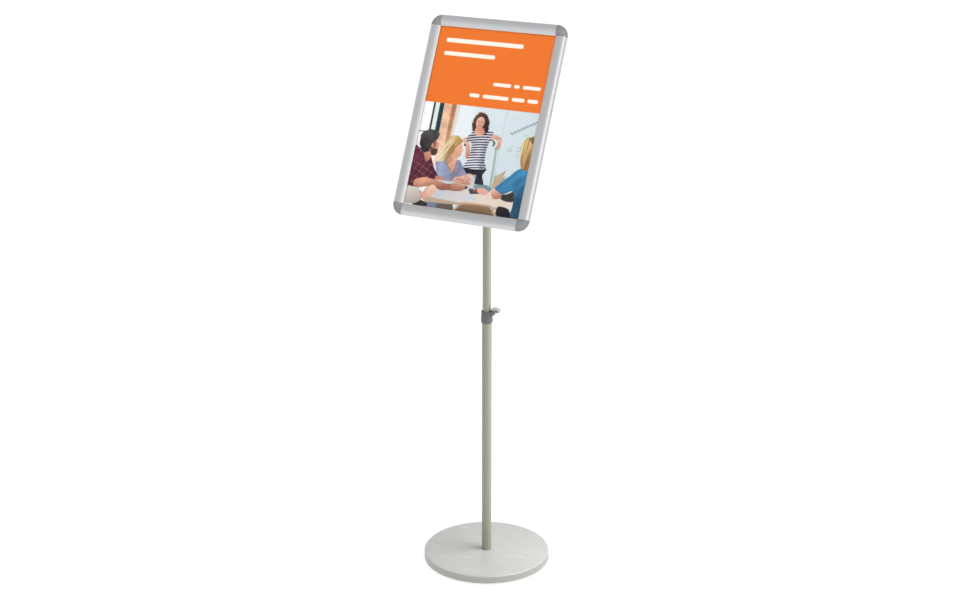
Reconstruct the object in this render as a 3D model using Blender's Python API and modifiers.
"""Height-adjustable floor sign stand with an A3 snap frame.

Frame of the model: +Z up, the sign's front faces -Y, and the origin is on the floor under the pole.
Lengths are in metres and angles in degrees.
"""
import math

import bmesh
import bpy
from mathutils import Matrix, Vector

# ---- driving dimensions ---------------------------------------------------------------------
GAP = 0.0003                      # room left between two pieces that touch on the real stand

BASE_RADIUS = 0.145
BASE_HEIGHT = 0.0192
BASE_EDGE = 0.003                 # rounding of the cover's upper edge
SHEET = 0.0012                    # pressed steel of the cover and the bottom plate
FOOT_HEIGHT = 0.002
FOOT_RADIUS = 0.010
FOOT_CIRCLE = 0.120

LOWER_TUBE = 0.0110               # outer radius
UPPER_TUBE = 0.0095
TUBE_WALL = 0.0012
COLLAR_TOP = 0.606
COLLAR_HEIGHT = 0.028
COLLAR_RADII = (0.0124, 0.0134)   # outside, at the top and above the bottom chamfer
COLLAR_CHAMFER = 0.0035
BUSH_TOP = 0.604
TUBE_JOINT = 0.583                # where the lower tube ends inside the collar
UPPER_TUBE_FOOT = 0.345
PLUG_LENGTH = 0.020

LEVER_PIVOT = (0.0185, 0.6042)    # X and height of the lever's pin, which runs along Y
PIN_RADIUS = 0.0015
CHEEK_RADIUS = 0.0050             # the collar's two cheeks hold the pin
CHEEK_INNER = 0.0046
CHEEK_OUTER = 0.0066
LEVER_HALF_WIDTH = 0.0060
HUB_HALF_WIDTH = 0.0042
CORE_HALF_WIDTH = 0.0032          # the block under the lever's back, up into its curl
LEVER_SKIN = 0.0022
LEVER_CREST = (0.0195, 0.6152)    # top of the lever's arch
LEVER_NOSE = (0.0120, 139.0)      # radius of the arch towards the nose, and where it ends
LEVER_BACK = (0.0240, 60.0)       # the same towards the tip
LEVER_CURL = (0.0050, -20.0)      # the same for the curled tip
LEVER_CLOSED = 110.0              # the open lever turns down by this angle to close
CAM_RADIUS = 0.0042
CAM_OFFSET = 0.0004
SHOE_HALF_WIDTH = 0.0024
SHOE_HEIGHTS = (0.5998, 0.6048)
SHOE_REACH = (0.0075, 0.0138)     # X of its inner end, before the seat is cut, and of its outer end

TILT_HEIGHT = 1.029
TUBE_TOP = -0.0255                # from the tilt axis, like the other heights of the head
TILT_BACK = 26.08                 # lean of the sign from the vertical
KNUCKLE_RADIUS = 0.0105
KNUCKLE_HALF_WIDTH = 0.006
YOKE_INNER = 0.0076               # half the room between the yoke's cheeks
YOKE_OUTER = 0.0106
WEB_BACK = -0.0197                # the yoke's web, along the head's Y
WEB_FRONT = -0.0227
WASHER = 0.001
BOLT_M6 = 0.003
PLATE = 0.003
SCREW_REACH = 0.040               # mounting screws, across and up from the plate's middle
SCREW_HOLE = 0.0024

SIGN_WIDTH = 0.327
SIGN_HEIGHT = 0.450
SIGN_BACK = 0.0365                # back of the frame to the tilt axis
RAIL_WIDTH = 0.025
SHEET_WIDTH = 0.297
SHEET_HEIGHT = 0.420

RAIL_SKIN = 0.0013
RAIL_CREST = (0.011, 0.013)       # inward from the outer edge, forward from the back
RAIL_LIP = 0.0075
SNAP_AXIS = (0.0013, 0.005)
SNAP_BEAD = 0.0012
CLAMPED_STACK = 0.005             # front of the clear cover sheet above the frame's back

# heights above the back of the frame, back and front face of each layer
PANEL_LAYER = (0.0015, 0.0037)
POSTER_LAYER = (0.0040, 0.0043)
COVER_LAYER = (0.0046, CLAMPED_STACK)

ROUND = 48                        # sides of the large turned pieces
MID_ROUND = 32
SMALL_ROUND = 18

# ---- colours: linear base colour, roughness, metallic ----------------------------------------
FINISHES = {
    "light_grey_paint": ((0.62, 0.62, 0.59, 1.0), 0.45, 0.0),
    "grey_beige_paint": ((0.36, 0.37, 0.30, 1.0), 0.35, 0.0),
    "cast_iron": ((0.10, 0.10, 0.10, 1.0), 0.7, 0.8),
    "zinc_steel": ((0.55, 0.55, 0.56, 1.0), 0.3, 1.0),
    "black_rubber": ((0.02, 0.02, 0.02, 1.0), 0.8, 0.0),
    "dark_grey_plastic": ((0.14, 0.14, 0.14, 1.0), 0.45, 0.0),
    "black_plastic": ((0.03, 0.03, 0.03, 1.0), 0.5, 0.0),
    "lever_grey": ((0.45, 0.45, 0.45, 1.0), 0.35, 0.0),
    "satin_aluminium": ((0.72, 0.73, 0.74, 1.0), 0.35, 1.0),
    "corner_grey": ((0.28, 0.28, 0.29, 1.0), 0.5, 0.0),
    "backing_board": ((0.75, 0.75, 0.74, 1.0), 0.6, 0.0),
    "printed_paper": ((0.87, 0.20, 0.03, 1.0), 0.7, 0.0),
    "clear_film": ((0.95, 0.95, 0.95, 1.0), 0.15, 0.0),
}


# ---- helpers ---------------------------------------------------------------------------------
def clear_scene():
    for obj in list(bpy.data.objects):
        bpy.data.objects.remove(obj, do_unlink=True)


def make_collection(name):
    collection = bpy.data.collections.new(name)
    bpy.context.scene.collection.children.link(collection)
    return collection


def finish_material(finish):
    material = bpy.data.materials.get(finish)
    if material:
        return material
    colour, roughness, metallic = FINISHES[finish]
    material = bpy.data.materials.new(finish)
    material.use_nodes = True
    shader = material.node_tree.nodes["Principled BSDF"]
    shader.inputs["Base Color"].default_value = colour
    shader.inputs["Roughness"].default_value = roughness
    shader.inputs["Metallic"].default_value = metallic
    return material


def add_empty(name, location, rotation=(0, 0, 0), parent=None):
    empty = bpy.data.objects.new(name, None)
    empty.location = location
    empty.rotation_euler = [math.radians(angle) for angle in rotation]
    empty.parent = parent
    PARTS.objects.link(empty)
    return empty


def add_object(name, data, finish=None, parent=None, location=(0, 0, 0), rotation=(0, 0, 0)):
    """Put mesh or curve data in the parts; without a finish it's a cutter."""
    obj = bpy.data.objects.new(name, data)
    obj.location = location
    obj.rotation_euler = [math.radians(angle) for angle in rotation]
    obj.parent = parent
    if finish:
        data.materials.append(finish_material(finish))
        PARTS.objects.link(obj)
    else:
        obj.hide_render = True
        obj.display_type = "WIRE"
        CUTTERS.objects.link(obj)
    return obj


def turned(name, outline, finish=None, steps=ROUND, **place):
    """Turn an outline of (radius, height) about Z; it runs down the outer side first."""
    mesh = bpy.data.meshes.new(name)
    count = len(outline)
    edges = [(i, (i + 1) % count) for i in range(count)]
    mesh.from_pydata([(radius, 0, height) for radius, height in outline], edges, [])
    obj = add_object(name, mesh, finish, **place)
    screw = obj.modifiers.new("turn", "SCREW")
    screw.angle = math.tau
    screw.steps = screw.render_steps = steps
    screw.use_merge_vertices = True
    screw.merge_threshold = 0.00001
    screw.use_smooth_shade = True
    return obj


def tube_outline(outer, inner, low, high, edge=0.0003):
    return [(outer - edge, high), (outer, high - edge), (outer, low + edge), (outer - edge, low),
            (inner, low), (inner, high)]


def rod(name, radius, length, finish=None, sides=SMALL_ROUND, edge=0.0, **place):
    """A cylinder, or a prism with few sides, centred on its own Z axis."""
    mesh = bpy.data.meshes.new(name)
    shape = bmesh.new()
    bmesh.ops.create_cone(shape, cap_ends=True, segments=sides, radius1=radius, radius2=radius,
                          depth=length)
    shape.to_mesh(mesh)
    shape.free()
    obj = add_object(name, mesh, finish, **place)
    if edge:
        round_edges(obj, edge)
    return obj


def block(name, size, finish=None, edge=0.0, **place):
    mesh = bpy.data.meshes.new(name)
    shape = bmesh.new()
    bmesh.ops.create_cube(shape, size=1.0, matrix=Matrix.Diagonal((*size, 1.0)))
    shape.to_mesh(mesh)
    shape.free()
    obj = add_object(name, mesh, finish, **place)
    if edge:
        round_edges(obj, edge)
    return obj


def round_edges(obj, width, segments=1, angle=40):
    bevel = obj.modifiers.new("edges", "BEVEL")
    bevel.width = width
    bevel.segments = segments
    bevel.limit_method = "ANGLE"
    bevel.angle_limit = math.radians(angle)


def flat(name, outlines, thickness, finish=None, **place):
    """A flat piece from closed outlines in its XY plane; inner outlines are holes."""
    curve = bpy.data.curves.new(name, "CURVE")
    curve.dimensions = "2D"
    curve.fill_mode = "BOTH"
    curve.extrude = thickness / 2
    for outline in outlines:
        spline = curve.splines.new("POLY")
        spline.points.add(len(outline) - 1)
        for point, (x, y) in zip(spline.points, outline):
            point.co = (x, y, 0, 1)
        spline.use_cyclic_u = True
    return add_object(name, curve, finish, **place)


def as_mesh(obj):
    """Replace a curve object by a welded mesh object of the same name and place."""
    bpy.context.view_layer.update()
    evaluated = obj.evaluated_get(bpy.context.evaluated_depsgraph_get())
    mesh = bpy.data.meshes.new_from_object(evaluated)
    shape = bmesh.new()
    shape.from_mesh(mesh)
    bmesh.ops.remove_doubles(shape, verts=shape.verts, dist=0.000001)
    bmesh.ops.recalc_face_normals(shape, faces=shape.faces)
    shape.to_mesh(mesh)
    shape.free()
    name, collection = obj.name, obj.users_collection[0]
    solid = bpy.data.objects.new(name, mesh)
    solid.parent = obj.parent
    solid.matrix_basis = obj.matrix_basis.copy()
    solid.hide_render = obj.hide_render
    solid.display_type = obj.display_type
    bpy.data.objects.remove(obj, do_unlink=True)
    solid.name = name
    collection.objects.link(solid)
    return solid


def combine(obj, other, operation="DIFFERENCE"):
    """Boolean obj with a helper solid, which stays among the cutters."""
    boolean = obj.modifiers.new(other.name, "BOOLEAN")
    boolean.operation = operation
    boolean.solver = "EXACT"
    boolean.object = other
    return obj


def arc(centre, radius, start, end, steps):
    """Points on a circle from one angle to another, in degrees."""
    points = []
    for i in range(steps + 1):
        angle = math.radians(start + (end - start) * i / steps)
        points.append((centre[0] + radius * math.cos(angle), centre[1] + radius * math.sin(angle)))
    return points


def circle(x, y, radius, steps=24):
    return arc((x, y), radius, 0, 360 - 360 / steps, steps - 1)


def rounded_rectangle(width, height, radius, steps=4):
    points = []
    corners = [(1, 1, 0), (-1, 1, 90), (-1, -1, 180), (1, -1, 270)]
    for x_side, y_side, start in corners:
        centre = (x_side * (width / 2 - radius), y_side * (height / 2 - radius))
        points += arc(centre, radius, start, start + 90, steps)
    return points


# ---- base ------------------------------------------------------------------------------------
def build_base():
    plate_low = FOOT_HEIGHT + GAP
    plate_high = plate_low + SHEET
    weight_low = plate_high + GAP
    weight_high = BASE_HEIGHT - SHEET - GAP
    hole = 0.0045
    inner = BASE_RADIUS - SHEET

    outer_edge = arc((BASE_RADIUS - BASE_EDGE, BASE_HEIGHT - BASE_EDGE), BASE_EDGE, 90, 0, 4)
    inner_edge = arc((BASE_RADIUS - BASE_EDGE, BASE_HEIGHT - BASE_EDGE), BASE_EDGE - SHEET, 0, 90, 2)
    turned("base_cover", [(hole, BASE_HEIGHT)] + outer_edge + [(BASE_RADIUS, plate_low)]
           + [(inner, plate_low)] + inner_edge + [(hole, BASE_HEIGHT - SHEET)], "light_grey_paint")

    weight_radius = inner - 0.0015
    recess = 0.012
    recess_top = weight_low + 0.0078
    turned("base_weight", [(hole, weight_high), (weight_radius - 0.002, weight_high),
                           (weight_radius, weight_high - 0.002), (weight_radius, weight_low),
                           (recess, weight_low), (recess, recess_top), (hole, recess_top)],
           "cast_iron", steps=MID_ROUND)

    turned("base_bottom_plate", [(0.014, plate_high), (inner - 0.0008, plate_high),
                                 (inner - 0.0008, plate_low), (0.014, plate_low)],
           "zinc_steel", steps=MID_ROUND)

    for i, name in enumerate(("foot_pad_front_right", "foot_pad_rear_right",
                              "foot_pad_rear_left", "foot_pad_front_left")):
        angle = math.radians(-45 + 90 * i)
        place = (FOOT_CIRCLE * math.cos(angle), FOOT_CIRCLE * math.sin(angle), FOOT_HEIGHT / 2)
        rod(name, FOOT_RADIUS, FOOT_HEIGHT, "black_rubber", edge=0.0004, location=place)

    washer_high = recess_top - GAP
    washer_low = washer_high - 0.0012
    turned("base_washer", tube_outline(0.010, 0.0043, washer_low, washer_high, 0.0001),
           "zinc_steel", steps=SMALL_ROUND)
    head_high = washer_low - GAP
    head_length = 0.005
    shank_top = 0.050
    bolt = rod("base_bolt", 0.0075, head_length, "zinc_steel", sides=6,
               location=(0, 0, head_high - head_length / 2))
    shank = rod("base_bolt_shank", 0.004, shank_top - head_high + 0.001,
                location=(0, 0, (shank_top + head_high - 0.001) / 2))
    combine(bolt, shank, "UNION")

    insert_low = BASE_HEIGHT + GAP
    turned("tube_foot_insert", tube_outline(LOWER_TUBE - TUBE_WALL - GAP, 0.0043, insert_low, 0.055),
           "zinc_steel", steps=SMALL_ROUND)


# ---- telescopic mast -------------------------------------------------------------------------
def build_mast():
    turned("lower_tube", tube_outline(LOWER_TUBE, LOWER_TUBE - TUBE_WALL, BASE_HEIGHT + GAP,
                                      TUBE_JOINT), "grey_beige_paint")
    turned("upper_tube", tube_outline(UPPER_TUBE, UPPER_TUBE - TUBE_WALL, UPPER_TUBE_FOOT,
                                      TILT_HEIGHT + TUBE_TOP), "grey_beige_paint")

    fit = UPPER_TUBE - TUBE_WALL - GAP
    hole, chamfer, shoulder = 0.002, 0.001, UPPER_TUBE_FOOT - GAP
    top, bottom = UPPER_TUBE_FOOT + PLUG_LENGTH, UPPER_TUBE_FOOT - PLUG_LENGTH
    turned("glide_plug", [(hole, top), (fit - chamfer / 2, top), (fit, top - chamfer / 2), (fit, shoulder),
                          (UPPER_TUBE, shoulder), (UPPER_TUBE, bottom + chamfer),
                          (UPPER_TUBE - chamfer, bottom), (hole, bottom)],
           "black_plastic", steps=MID_ROUND)


# ---- quick-release clamp at the tube joint ---------------------------------------------------
def build_clamp():
    """A collar whose lever presses a shoe on the inner tube, through a window, by its cam."""
    bore = LOWER_TUBE + GAP
    pivot_x, pivot_z = LEVER_PIVOT
    shoe_low, shoe_high = SHOE_HEIGHTS
    shoe_middle = (shoe_low + shoe_high) / 2
    window = block("shoe_window", (0.010, 2 * (SHOE_HALF_WIDTH + GAP), shoe_high - shoe_low + 2 * GAP),
                   location=(COLLAR_RADII[0], 0, shoe_middle))

    bush = turned("collar_bush", tube_outline(LOWER_TUBE, UPPER_TUBE + GAP, TUBE_JOINT + GAP, BUSH_TOP),
                  "black_plastic", steps=MID_ROUND)
    combine(bush, window)

    top_radius, bottom_radius = COLLAR_RADII
    bottom = COLLAR_TOP - COLLAR_HEIGHT
    edge = 0.0006
    collar = turned("clamp_collar", [(top_radius - edge, COLLAR_TOP), (top_radius, COLLAR_TOP - edge),
                                     (bottom_radius, bottom + COLLAR_CHAMFER), (bore + edge, bottom),
                                     (bore, bottom), (bore, COLLAR_TOP)],
                    "dark_grey_plastic", steps=MID_ROUND)
    for side in (-1, 1):
        combine(collar, collar_cheek(side, bore), "UNION")
    combine(collar, window)
    combine(collar, rod("collar_pin_hole", PIN_RADIUS + GAP, 0.020, location=(pivot_x, 0, pivot_z),
                        rotation=(90, 0, 0)))

    inner, outer = SHOE_REACH
    shoe = block("brake_shoe", (outer - inner, 2 * SHOE_HALF_WIDTH, shoe_high - shoe_low),
                 "black_plastic", location=((inner + outer) / 2, 0, shoe_middle))
    combine(shoe, rod("brake_shoe_seat", UPPER_TUBE + GAP, 0.020, sides=ROUND,
                      location=(0, 0, shoe_middle)))
    rod("lever_pin", PIN_RADIUS, 2 * (CHEEK_OUTER - 0.0002), "zinc_steel", edge=0.0002,
        location=(pivot_x, 0, pivot_z), rotation=(90, 0, 0))
    build_lever()


def collar_cheek(side, bore):
    """A round-ended plate for the lever's pin, with its root in the collar's wall."""
    root, root_low, root_high = 0.009, COLLAR_TOP - 0.0125, COLLAR_TOP - 0.0008
    outline = arc(LEVER_PIVOT, CHEEK_RADIUS, -50, 125, 12) + [(root, root_high), (root, root_low)]
    cheek = as_mesh(flat(f"collar_cheek_{side}", [outline], CHEEK_OUTER - CHEEK_INNER,
                         location=(0, side * (CHEEK_INNER + CHEEK_OUTER) / 2, 0), rotation=(90, 0, 0)))
    return combine(cheek, rod(f"cheek_bore_{side}", bore + 0.0005, 2 * COLLAR_HEIGHT, sides=ROUND,
                              location=(0, 0, COLLAR_TOP - COLLAR_HEIGHT / 2)))


def lever_curl_centre():
    crest_x, crest_z = LEVER_CREST
    (bend, end), (curl, _) = LEVER_BACK, LEVER_CURL
    run = math.radians(end)
    return crest_x + (bend - curl) * math.cos(run), crest_z - bend + (bend - curl) * math.sin(run)


def lever_arch(inset, steps):
    """From the nose over the crest to the curled tip, as X and height, inset below the upper face."""
    crest_x, crest_z = LEVER_CREST
    (nose_bend, nose_end), (back_bend, back_end), (curl, curl_end) = LEVER_NOSE, LEVER_BACK, LEVER_CURL
    return (arc((crest_x, crest_z - nose_bend), nose_bend - inset, nose_end, 90, steps)
            + arc((crest_x, crest_z - back_bend), back_bend - inset, 90, back_end, steps)[1:]
            + arc(lever_curl_centre(), curl - inset, back_end, curl_end, steps)[1:])


def build_lever():
    """The lever stands open, as modelled; its hub and cam turn on the pin between the cheeks."""
    pivot_x, pivot_z = LEVER_PIVOT
    crest_x, crest_z = LEVER_CREST
    curl_x, curl_z = lever_curl_centre()
    lever_axis = add_empty("lever_axis", (pivot_x, 0, pivot_z))
    place = dict(parent=lever_axis, location=(-pivot_x, 0, -pivot_z), rotation=(90, 0, 0))
    plate = lever_arch(0.0, 6) + lever_arch(LEVER_SKIN, 6)[::-1]
    lever = as_mesh(flat("cam_lever", [plate], 2 * LEVER_HALF_WIDTH, "lever_grey", **place))

    # both run up to just inside the plate
    hub_outline = [(pivot_x - 0.0034, pivot_z), (pivot_x + 0.0034, pivot_z),
                   (crest_x + 0.0045, crest_z - 0.0017), (crest_x - 0.0045, crest_z - 0.0022)]
    core_outline = [(pivot_x + 0.0020, pivot_z + 0.0020), (curl_x + 0.0005, curl_z - 0.0016),
                    (curl_x + 0.0030, curl_z + 0.0010), (curl_x, curl_z + 0.0036),
                    (crest_x + 0.0055, crest_z - 0.0023), (crest_x, crest_z - 0.0012)]
    hub = as_mesh(flat("lever_hub", [hub_outline], 2 * HUB_HALF_WIDTH, **place))
    core = as_mesh(flat("lever_core", [core_outline], 2 * CORE_HALF_WIDTH, **place))
    cam_turn = math.radians(180 + LEVER_CLOSED)
    cam = rod("lever_cam", CAM_RADIUS, 2 * HUB_HALF_WIDTH, sides=24, parent=lever_axis,
              location=(CAM_OFFSET * math.cos(cam_turn), 0, CAM_OFFSET * math.sin(cam_turn)),
              rotation=(90, 0, 0))
    for other in (hub, core, cam):
        combine(lever, other, "UNION")
    combine(lever, rod("lever_pin_hole", PIN_RADIUS + GAP, 0.020, parent=lever_axis,
                       rotation=(90, 0, 0)))


# ---- tilting and turning head ----------------------------------------------------------------
def build_head():
    """Pieces about the tilt axis; the head's -Y points out of the sign's front."""
    build_knuckle()
    head_axis = add_empty("head_axis", (0, 0, TILT_HEIGHT), rotation=(-TILT_BACK, 0, 0))
    build_yoke(head_axis)

    for name, turn in (("friction_washer_right", 90), ("friction_washer_left", -90)):
        low = KNUCKLE_HALF_WIDTH + GAP
        turned(name, tube_outline(0.009, BOLT_M6 + GAP, low, low + WASHER, 0.0001), "black_plastic",
               steps=SMALL_ROUND, parent=head_axis, rotation=(0, turn, 0))

    washer_low = YOKE_OUTER + GAP
    turned("knob_washer", tube_outline(0.007, BOLT_M6 + GAP, washer_low, washer_low + WASHER, 0.0001),
           "zinc_steel", steps=SMALL_ROUND, parent=head_axis, rotation=(0, 90, 0))
    bolt_head = 0.004
    bolt_end = 0.0245
    head_middle = -(YOKE_OUTER + GAP + bolt_head / 2)
    bolt = rod("tilt_bolt", 0.0058, bolt_head, "zinc_steel", sides=6, parent=head_axis,
               location=(head_middle, 0, 0), rotation=(0, 90, 0))
    shank = rod("tilt_bolt_shank", BOLT_M6, bolt_end - head_middle, parent=head_axis,
                location=((bolt_end + head_middle) / 2, 0, 0), rotation=(0, 90, 0))
    combine(bolt, shank, "UNION")

    build_knob(head_axis, washer_low + WASHER + GAP)
    build_turntable(head_axis)


def build_knuckle():
    """A plug in the upper tube with a round-ended tongue on top."""
    axis, neck_top, foot, chamfer = 0.0001, -0.0142, -0.0555, 0.001
    bore = UPPER_TUBE - TUBE_WALL - GAP
    place = dict(location=(0, 0, TILT_HEIGHT))
    knuckle = turned("head_knuckle", [(axis, neck_top), (UPPER_TUBE, neck_top), (UPPER_TUBE, TUBE_TOP + GAP),
                                      (bore, TUBE_TOP + GAP), (bore, foot + chamfer),
                                      (bore - chamfer, foot), (axis, foot)],
                     "black_plastic", steps=MID_ROUND, **place)
    root_half, root_low = 0.0085, -0.0165
    outline = arc((0, 0), KNUCKLE_RADIUS, -20, 200, 16) + [(-root_half, root_low), (root_half, root_low)]
    tongue = as_mesh(flat("knuckle_tongue", [outline], 2 * KNUCKLE_HALF_WIDTH, rotation=(90, 0, 90),
                          **place))
    combine(knuckle, tongue, "UNION")
    combine(knuckle, rod("knuckle_hole", BOLT_M6 + GAP, 0.050, rotation=(0, 90, 0), **place))


def build_yoke(head_axis):
    """A bracket with two round-ended cheeks about the tongue, on a web in front of it."""
    cheek_end, half_height = 0.013, 0.016
    plan = [(-YOKE_OUTER, WEB_FRONT), (YOKE_OUTER, WEB_FRONT), (YOKE_OUTER, cheek_end),
            (YOKE_INNER, cheek_end), (YOKE_INNER, WEB_BACK), (-YOKE_INNER, WEB_BACK),
            (-YOKE_INNER, cheek_end), (-YOKE_OUTER, cheek_end)]
    yoke = as_mesh(flat("tilt_yoke", [plan], 2 * half_height, "dark_grey_plastic", parent=head_axis))
    shoulder, past_web = -0.0125, -0.024
    profile = [(shoulder, -half_height), *arc((0, 0), 0.0115, -60, 60, 12), (shoulder, half_height),
               (past_web, half_height), (past_web, -half_height)]
    side_shape = as_mesh(flat("yoke_side_shape", [profile], 0.040, parent=head_axis,
                              rotation=(90, 0, 90)))
    combine(yoke, side_shape, "INTERSECT")
    combine(yoke, rod("yoke_cross_hole", BOLT_M6 + GAP, 0.050, parent=head_axis, rotation=(0, 90, 0)))
    combine(yoke, rod("yoke_web_hole", BOLT_M6 + GAP, 0.010, parent=head_axis,
                      location=(0, (WEB_FRONT + WEB_BACK) / 2, 0), rotation=(90, 0, 0)))


def build_knob(head_axis, low):
    """Hand knob with a lobed grip on the end of the tilt bolt."""
    length, grip, wave, lobes = 0.014, 0.0145, 0.0014, 6
    count = 6 * lobes
    outline = []
    for i in range(count):
        angle = math.tau * i / count
        radius = grip + wave * math.cos(lobes * angle)
        outline.append((radius * math.cos(angle), radius * math.sin(angle)))
    knob = as_mesh(flat("tilt_knob", [outline, circle(0, 0, BOLT_M6 + GAP)], length, "black_plastic",
                        parent=head_axis, location=(low + length / 2, 0, 0), rotation=(0, 90, 0)))
    round_edges(knob, 0.0012, angle=60)


def build_turntable(head_axis):
    """The pieces that carry the sign and let it turn between upright and sideways."""
    hole = BOLT_M6 + GAP
    washer_back = WEB_BACK + GAP + WASHER
    turned("pivot_washer", tube_outline(0.0062, hole, WEB_BACK + GAP, washer_back, 0.0001),
           "zinc_steel", steps=SMALL_ROUND, parent=head_axis, rotation=(-90, 0, 0))
    nut_length = 0.0042
    flat("pivot_nut", [arc((0, 0), 0.0057, 0, 300, 5), circle(0, 0, hole)], nut_length, "zinc_steel",
         parent=head_axis, location=(0, washer_back + GAP + nut_length / 2, 0), rotation=(-90, 0, 0))

    plate_front = -(SIGN_BACK + PANEL_LAYER[0] - GAP)
    plate_back = plate_front + PLATE
    hub_front, hub_back = plate_back + GAP, WEB_FRONT - GAP
    neck, flange, flange_edge = 0.0150, 0.0215, 0.002
    turned("swivel_hub", [(hole, hub_back), (neck, hub_back), (neck + 0.0015, hub_back - 0.0015),
                          (flange, hub_front + flange_edge), (flange, hub_front), (hole, hub_front)],
           "dark_grey_plastic", steps=MID_ROUND, parent=head_axis, rotation=(-90, 0, 0))
    flat("mount_plate", [rounded_rectangle(0.100, 0.100, 0.012), circle(0, 0, hole), *screw_holes()],
         PLATE, "zinc_steel", parent=head_axis, location=(0, (plate_front + plate_back) / 2, 0),
         rotation=(90, 0, 0))

    bolt_head = 0.002
    head_back = plate_front - GAP
    shank_front = head_back - bolt_head / 2
    shank_back = WEB_BACK + 0.0079
    bolt = rod("pivot_bolt", 0.0065, bolt_head, "zinc_steel", parent=head_axis,
               location=(0, head_back - bolt_head / 2, 0), rotation=(90, 0, 0))
    shank = rod("pivot_bolt_shank", BOLT_M6, shank_back - shank_front, parent=head_axis,
                location=(0, (shank_back + shank_front) / 2, 0), rotation=(90, 0, 0))
    combine(bolt, shank, "UNION")

    axis, shank, head, head_edge = 0.0001, 0.0020, 0.0038, 0.0008
    head_low = plate_back + GAP
    head_high = head_low + 0.002
    screw_front = -(SIGN_BACK + PANEL_LAYER[1] - 0.0002)
    for name, x_side, z_side in (("low_left", -1, -1), ("high_left", -1, 1), ("low_right", 1, -1),
                                 ("high_right", 1, 1)):
        turned(f"mount_screw_{name}", [(axis, head_high), (head - head_edge, head_high),
                                       (head, head_high - head_edge), (head, head_low),
                                       (shank, head_low), (shank, screw_front), (axis, screw_front)],
               "zinc_steel", steps=16, parent=head_axis, rotation=(-90, 0, 0),
               location=(x_side * SCREW_REACH, 0, z_side * SCREW_REACH))
    build_sign(head_axis)


def screw_holes():
    return [circle(x * SCREW_REACH, y * SCREW_REACH, SCREW_HOLE, 16) for x in (-1, 1) for y in (-1, 1)]


# ---- snap frame ------------------------------------------------------------------------------
def crest_points(skin, steps):
    """The rail's face, from its outer foot over the crest to the lip, skin thick below it."""
    crest_in, crest_up = RAIL_CREST
    foot_up = SNAP_AXIS[1]
    outer_foot = SNAP_AXIS[0] - SNAP_BEAD
    points = []
    for i in range(steps + 1):
        angle = math.pi / 2 * i / steps
        points.append((crest_in - (crest_in - outer_foot - skin) * math.cos(angle),
                       foot_up + (crest_up - foot_up - skin) * math.sin(angle)))
    reach = RAIL_WIDTH - crest_in
    for i in range(1, steps + 1):
        along = i / steps
        points.append((crest_in + reach * along, crest_up - skin - (crest_up - RAIL_LIP) * along ** 2))
    return points


def snap_rail_outline():
    """Section of the hinged cover rail, about its hinge axis: inward, forward."""
    outside = crest_points(0.0, 6)
    inside = [point for point in crest_points(RAIL_SKIN, 6)[1:-1] if point[0] < RAIL_WIDTH - 0.0015]
    foot_up = CLAMPED_STACK + GAP
    foot = [(RAIL_WIDTH, foot_up), (RAIL_WIDTH - 0.0011, foot_up),
            (RAIL_WIDTH - 0.0011, RAIL_LIP - RAIL_SKIN + 0.0009)]
    bead = arc(SNAP_AXIS, SNAP_BEAD, 74, -170, 10)
    points = outside + foot + inside[::-1] + bead
    return [(x - SNAP_AXIS[0], y - SNAP_AXIS[1]) for x, y in points]


RAIL_BASE_OUTLINE = [
    (0.0001, 0.0), (0.0235, 0.0), (0.0235, 0.0012), (0.0134, 0.0012), (0.0134, 0.0042),
    (0.0124, 0.0042), (0.0124, 0.0012), (0.0040, 0.0012), (0.0040, 0.0061), (0.0028, 0.0061),
    (0.0028, 0.0012), (0.0013, 0.0012), (0.0013, 0.0035), (0.0001, 0.0035),
]

LEAF_SPRING_OUTLINE = [
    (0.0115, 0.0015), (0.0115, 0.0020), (0.0062, 0.0020), (0.0058, 0.0026), (0.0100, 0.0096),
    (0.0096, 0.0101), (0.0049, 0.0026), (0.0054, 0.0015),
]


def corner_cap(name, finish, parent, place, turn):
    """A quarter turn of the rails' section about the frame's inner corner, open to both rails."""
    skin = 0.0014
    floor = 0.0012
    pivot_gap = 0.0004
    outside = [(RAIL_WIDTH - x, y) for x, y in crest_points(0.0, 6)]
    inside = [(RAIL_WIDTH - x, y) for x, y in crest_points(skin, 5)]
    outside[-1] = (pivot_gap, RAIL_LIP)
    inside[-1] = (pivot_gap, RAIL_LIP - skin)
    outer = outside[0][0]
    section = [(outer, 0.0)] + outside + inside[::-1] + [(outer - skin, floor), (pivot_gap, floor),
                                                         (pivot_gap, 0.0)]
    mesh = bpy.data.meshes.new(name)
    shape = bmesh.new()
    face = shape.faces.new([shape.verts.new((x, 0, z)) for x, z in section])
    bmesh.ops.spin(shape, geom=[face, *face.edges, *face.verts], cent=(0, 0, 0), axis=(0, 0, 1),
                   angle=math.pi / 2, steps=6, use_duplicate=False)
    bmesh.ops.recalc_face_normals(shape, faces=shape.faces)
    shape.to_mesh(mesh)
    shape.free()
    return add_object(name, mesh, finish, parent=parent, location=place, rotation=(0, 0, turn))


def corner_key(name, parent, place, turn):
    """Flat angle that joins the channels of two rails behind a corner cap."""
    inner, outer, leg = 0.0146, 0.0198, 0.030
    outline = ([(outer, -leg), *arc((0, 0), outer, 0, 90, 8), (-leg, outer), (-leg, inner)]
               + arc((0, 0), inner, 90, 0, 8) + [(inner, -leg)])
    return flat(name, [outline], 0.0015, "zinc_steel", parent=parent,
                location=(*place, 0.0015 + 0.00075), rotation=(0, 0, turn))


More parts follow.
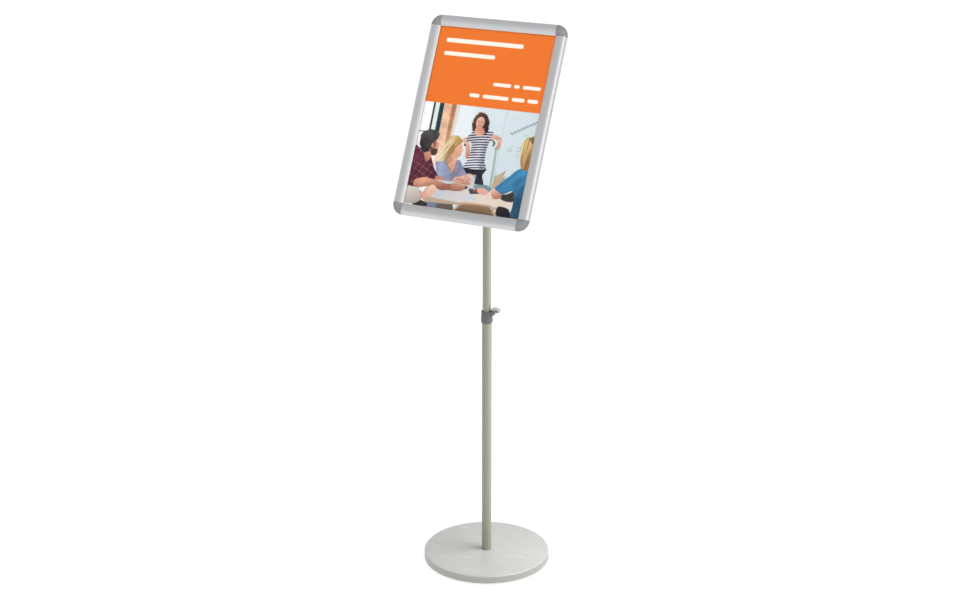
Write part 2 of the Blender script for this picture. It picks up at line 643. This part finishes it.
def build_sign(head_axis):
    """The frame lies in the XY plane of its empty: Y up the sign, Z out of its front."""
    sign = add_empty("sign_plane", (0, -SIGN_BACK, 0), rotation=(90, 0, 0), parent=head_axis)
    inner_half = (SIGN_WIDTH / 2 - RAIL_WIDTH, SIGN_HEIGHT / 2 - RAIL_WIDTH)

    for turn, side in ((0, "bottom"), (90, "right"), (180, "top"), (270, "left")):
        upright = turn % 180 == 90
        half = SIGN_WIDTH / 2 if upright else SIGN_HEIGHT / 2
        length = 2 * (inner_half[1] if upright else inner_half[0]) - 2 * GAP
        away = Vector((0, -half, 0))
        away.rotate(Matrix.Rotation(math.radians(turn), 3, "Z"))
        edge = add_empty(f"{side}_edge", away, rotation=(0, 0, turn), parent=sign)
        across = (90, 0, 90)
        flat(f"rail_base_{side}", [RAIL_BASE_OUTLINE], length, "satin_aluminium", parent=edge,
             rotation=across)
        flat(f"snap_rail_{side}", [snap_rail_outline()], length, "satin_aluminium", parent=edge,
             location=(0, *SNAP_AXIS), rotation=across)
        flat(f"snap_spring_{side}", [LEAF_SPRING_OUTLINE], 0.040, "zinc_steel", parent=edge,
             rotation=across)

    corners = (("low_right", 1, -1, 270), ("high_right", 1, 1, 0), ("high_left", -1, 1, 90),
               ("low_left", -1, -1, 180))
    for corner, x_side, y_side, turn in corners:
        place = (x_side * inner_half[0], y_side * inner_half[1])
        corner_cap(f"corner_cap_{corner}", "corner_grey", sign, (*place, 0), turn)
        corner_key(f"corner_key_{corner}", sign, place, turn)

    sheet = rounded_rectangle(SHEET_WIDTH, SHEET_HEIGHT, 0.002, 2)
    layers = (("backing_panel", [sheet, circle(0, 0, 0.008), *screw_holes()], PANEL_LAYER, "backing_board"),
              ("poster", [sheet], POSTER_LAYER, "printed_paper"),
              ("cover_sheet", [sheet], COVER_LAYER, "clear_film"))
    for name, outlines, (back, front), finish in layers:
        flat(name, outlines, front - back, finish, parent=sign, location=(0, 0, (back + front) / 2))


def smooth_rounds():
    """Shade round faces smooth and keep the creases sharp."""
    for obj in PARTS.objects:
        if obj.type == "MESH":
            obj.data.shade_smooth()
            obj.data.set_sharp_from_angle(angle=math.radians(35))


clear_scene()
PARTS = make_collection("sign_stand")
CUTTERS = make_collection("cutters")
build_base()
build_mast()
build_clamp()
build_head()
smooth_rounds()
